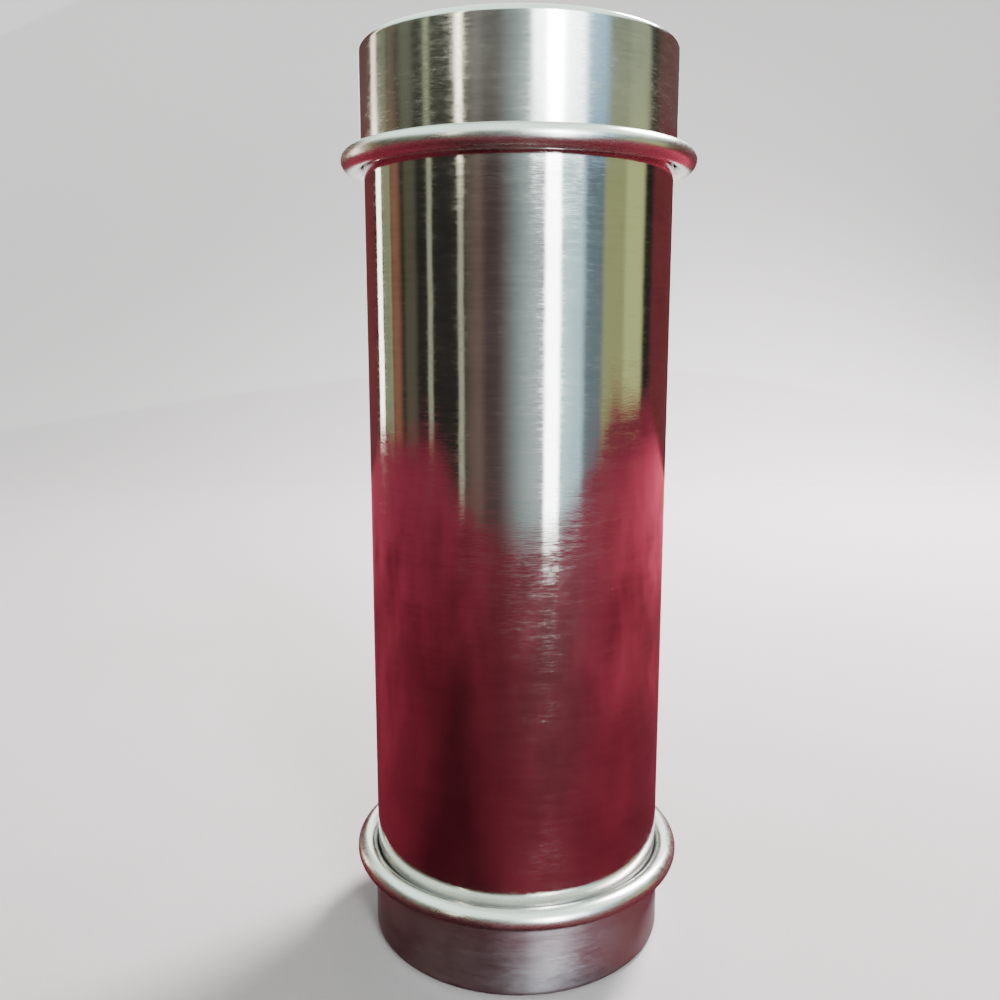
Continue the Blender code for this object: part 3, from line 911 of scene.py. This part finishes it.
def make_grub_screws(group):
    """Slotted grub screws with rolled threads and cup points."""
    edge, cup = 0.3 * MM, 0.5 * MM
    start, end = cup, SCREW_LENGTH - cup
    outline = ([(0.0, 0.0), (SCREW_R - edge, 0.0), (SCREW_R, edge)]
               + [(SCREW_R, z) for z in heights(start, end, SCREW_PITCH / 10)]
               + [(SCREW_R - cup, SCREW_LENGTH), (0.0, SCREW_LENGTH - cup)])
    for number, angle in enumerate(SCREW_ANGLES, start=1):
        node = "%s_%d" % (group, number)
        bm = lathe(outline, SMALL_ROUND, thread(SCREW_R, SCREW_PITCH, start, end,
                                                SCREW_THREAD_DEPTH))
        screw = make_object(node + "_slotted", bm, finishes("dark_screw"))
        slot = bmesh.new()
        bmesh.ops.create_cube(slot, size=1.0, matrix=Matrix.Diagonal(
            (4 * SCREW_R, SCREW_SLOT, 2.4 * SCREW_SLOT, 1.0)))
        cut_holes(screw, [make_object("cutter", slot, [])])
        screw.matrix_world = spoke(angle, SCREW_HEAD_R, screw_height(group))
        place_piece(screw, "tube", "dark_screw", node)


# Studio

STAGE_LEFT, STAGE_RIGHT = -0.78, 1.27
STAGE_FRONT, STAGE_BEND = -0.37, 0.50   # the table runs from the one to the other
SWEEP_R, STAGE_TOP = 0.35, 1.30
STAGE_GAP = 0.02 * MM                   # keeps the table and the cloth off the cylinder
BARE_WEDGE = math.radians(18)           # half the angle that the cloth leaves bare
CAMERA_PLACE = (-0.002985, -0.16986, 0.10684)
CAMERA_TILT = math.radians(80.0)        # from straight down
LAMP_PLACE = (0.45, 0.50, 0.75)
LAMP_AIM = (0.15, 0.30, 0.0)


def stage_surface(name, outlines, material):
    """A surface of one or more outlined faces, as part of the stage."""
    bm = bmesh.new()
    for outline in outlines:
        bm.faces.new([bm.verts.new(point) for point in outline])
    bmesh.ops.remove_doubles(bm, verts=bm.verts, dist=0.01 * MM)
    surface = make_object(name, bm, [material], 180.0)
    return surface


def make_stage_material_with_painted_shade(name, dark, light, far):
    """A mottled matt surface, dark to light, with painted shade round the cylinder: it grows
    lighter away from the cylinder.
    """
    g = Finish(name)
    coords, (x, y, _) = g.place()
    mottle_and_shade = g.mix(g.noise(coords, 9.0, 3.0, 0.6), g.noise(coords, 700.0, 4.0, 0.6), 0.3)
    # Painted shade: the tone is darkest at the cylinder's axis and lightens with distance from
    # it.
    mottle_and_shade = g.math("MULTIPLY_ADD", g.radius(x, y), 0.9, mottle_and_shade)
    g.paint(Base_Color=g.ramp(mottle_and_shade, (0.36, dark), (0.64, light), (1.0, far)),
            Roughness=0.9, Specular_IOR_Level=0.05)
    return g.material


def make_stage():
    """A pale table top that sweeps up into a backdrop, and the cloth that the metal mirrors, both
    with painted shade round the cylinder.

    The dark rose cloth lies on the table, but only reflections see it: it is a painted reflection
    in the metal. It leaves a wedge of the table behind the cylinder bare.
    """
    # Table and cloth both carry the painted shade round the cylinder.
    pale = make_stage_material_with_painted_shade("pale_table", (0.56, 0.50, 0.50), (0.62, 0.56, 0.56),
                             (0.64, 0.59, 0.59))
    rose = make_stage_material_with_painted_shade("rose_cloth", (0.036, 0.002, 0.006), (0.09, 0.006, 0.014),
                             (0.24, 0.022, 0.048))
    corners = [(STAGE_LEFT, STAGE_FRONT), (STAGE_RIGHT, STAGE_FRONT), (STAGE_RIGHT, STAGE_BEND),
               (STAGE_LEFT, STAGE_BEND)]
    stage_surface("table", [[(x, y, -3 * STAGE_GAP) for x, y in corners]], pale)
    curve = [(STAGE_BEND + SWEEP_R * math.sin(t), SWEEP_R * (1 - math.cos(t)))
             for t in heights(0.0, TURN / 4, TURN / 96)]
    curve.append((STAGE_BEND + SWEEP_R, STAGE_TOP))
    steps = [[(STAGE_LEFT, *low), (STAGE_RIGHT, *low), (STAGE_RIGHT, *high), (STAGE_LEFT, *high)]
             for low, high in zip(curve, curve[1:])]
    stage_surface("backdrop", steps, pale).visible_glossy = False
    reach = STAGE_BEND * math.tan(BARE_WEDGE)
    corners[3:3] = [(reach, STAGE_BEND), (0.0, 0.0), (-reach, STAGE_BEND)]
    # Painted reflection: the cloth is hidden from the camera, from diffuse light and from
    # shadows, so only the metal shows it.
    cloth = stage_surface("mirrored_cloth", [[(x, y, -STAGE_GAP) for x, y in corners]], rose)
    cloth.visible_camera = cloth.visible_diffuse = cloth.visible_shadow = False
    cloth.visible_transmission = False


# Upright soft boxes round the table, as the cylinder sees them: bearing of the middle from
# the front (positive to the right), half width and width of the soft edge in degrees, then
# the colour low down and the colour higher up.
SOFT_BOXES = (
    (24.0, 3.5, 3.5, (12.0, 13.0, 13.0), (30.0, 32.0, 32.0)),
    (27.0, 16.0, 5.0, (0.0, 0.0, 0.0), (8.0, 9.2, 9.4)),
    (18.0, 2.0, 34.0, (0.62, 0.78, 0.80), (0.9, 1.2, 1.2)),
    (37.0, 7.0, 6.0, (0.60, 1.0, 1.15), (0.0, 0.0, 0.0)),
    (54.0, 5.0, 8.0, (0.16, 0.24, 0.28), (0.6, 1.1, 1.6)),
    (83.0, 17.0, 6.0, (0.42, 0.48, 0.20), (0.32, 0.40, 0.28)),
    (136.0, 18.0, 8.0, (0.17, 0.012, 0.024), (0.10, 0.020, 0.028)),
    (174.0, 6.0, 6.0, (1.6, 1.75, 1.7), (4.0, 4.4, 4.2)),
    (-174.0, 6.0, 6.0, (1.6, 1.75, 1.7), (4.0, 4.4, 4.2)),
    (92.0, 7.0, 5.0, (0.25, 0.30, 0.12), (0.10, 0.10, 0.06)),
    (-146.0, 11.0, 6.0, (0.17, 0.012, 0.024), (0.10, 0.020, 0.028)),
    (-124.0, 3.0, 1.5, (6.5, 6.4, 5.2), (3.0, 2.5, 2.1)),
    (-113.0, 4.0, 3.0, (0.30, 0.36, 0.20), (0.20, 0.24, 0.16)),
    (-102.0, 1.5, 8.0, (0.30, 0.13, 0.075), (0.12, 0.10, 0.07)),
    (-86.0, 3.0, 6.0, (0.09, 0.09, 0.055), (0.12, 0.14, 0.10)),
    (-67.5, 1.0, 2.0, (0.45, 0.50, 0.34), (0.6, 0.7, 0.4)),
    (-42.5, 1.0, 2.0, (0.50, 0.55, 0.40), (9.0, 9.0, 7.0)),
    (-33.0, 3.0, 8.0, (0.10, 0.075, 0.055), (0.10, 0.10, 0.09)),
    (-20.0, 8.0, 12.0, (0.075, 0.045, 0.045), (0.14, 0.14, 0.14)),
)
ROOM_LOW = (0.035, 0.034, 0.030)
ROOM_HIGH = (0.07, 0.07, 0.055)
CEILING = (2.2, 2.9, 2.6)
FILL = (0.16, 0.16, 0.16)           # what the room adds to plain, unpolished surfaces
SEEN_BEHIND = (0.98, 0.94, 0.94)    # past the edges of the stage
SUNK_SHADE = (0.25, 0.25, 0.25)
# Elevations in degrees between which one part of the room gives way to the next
SUNK_BELOW = (-40.0, -8.0)
HIGH_FROM = (8.5, 11.5)
CEILING_FROM = (24.0, 40.0)


def make_world():
    """A dim room with soft boxes round the table and a bright ceiling."""
    world = bpy.data.worlds.new("studio")
    bpy.context.scene.world = world
    world.use_nodes = True
    g = Graph(world.node_tree)
    _, (x, y, z) = g.place("Generated")
    bearing = g.math("DEGREES", g.math("ARCTAN2", x, g.math("MULTIPLY", y, -1.0)))
    elevation = g.math("DEGREES", g.math("ARCSINE", z))
    raised = g.smooth(elevation, *HIGH_FROM)
    light = g.blend("MIX", raised, ROOM_LOW, ROOM_HIGH)
    for middle, half, edge, low, high in SOFT_BOXES:
        away = g.math("ABSOLUTE", g.math("SUBTRACT", bearing, middle))
        inside = g.math("SUBTRACT", 1.0, g.smooth(away, half, half + edge))
        light = g.blend("ADD", inside, light, g.blend("MIX", raised, low, high))
    sunk = g.math("SUBTRACT", 1.0, g.smooth(elevation, *SUNK_BELOW))
    light = g.blend("MULTIPLY", sunk, light, SUNK_SHADE)
    light = g.blend("MIX", g.smooth(elevation, *CEILING_FROM), light, CEILING)
    path = g.node("ShaderNodeLightPath")
    light = g.blend("MIX", path.outputs["Is Diffuse Ray"], light, FILL)
    light = g.blend("MIX", path.outputs["Is Camera Ray"], light, SEEN_BEHIND)
    g.feed(light, g.tree.nodes["Background"].inputs["Color"])


def make_lamp():
    """A soft overhead lamp that pools on the table round the cylinder."""
    lamp = bpy.data.lights.new("overhead", "AREA")
    lamp.shape, lamp.size, lamp.energy, lamp.spread = "DISK", 0.3, 9.0, math.radians(90)
    light = bpy.data.objects.new("overhead", lamp)
    light.location = LAMP_PLACE
    aim = Vector(LAMP_AIM) - light.location
    light.rotation_euler = aim.to_track_quat("-Z", "Y").to_euler()
    bpy.context.scene.collection.objects.link(light)
    light.visible_camera = False


def make_camera():
    """A hand-held close-up, level with the upper part and looking ten degrees down."""
    data = bpy.data.cameras.new("camera")
    data.sensor_width, data.lens = 36.0, 36.0
    data.clip_start, data.clip_end = 0.01, 20.0
    camera = bpy.data.objects.new("camera", data)
    camera.location = CAMERA_PLACE
    camera.rotation_euler = (CAMERA_TILT, 0.0, 0.0)
    bpy.context.scene.collection.objects.link(camera)
    bpy.context.scene.camera = camera


make_tube()
make_cap("top_cap", "upper_cap", "cap_steel")
# The lower cap's wall takes the satin steel with the painted tint.
make_cap("bottom_cap", "lower_cap", "satin_steel_painted_tint")
for cap_end, cap_body in (("top", "upper_cap"), ("bottom", "lower_cap")):
    make_stud(cap_end, cap_body)
    make_washer(cap_end, cap_body)
    make_nut(cap_end, cap_body)
make_lock_ring()
for pin_number in range(1, 5):
    make_lock_pin(pin_number)
make_lock_plug()
make_o_ring()
make_vial()
make_stopper()
make_scroll()
make_ribbon()
make_vial_guide()
make_bottom_plug()
make_floor_felt()
make_grub_screws("ring_screw")
make_grub_screws("plug_screw")
make_stage()
make_world()
make_lamp()
make_camera()
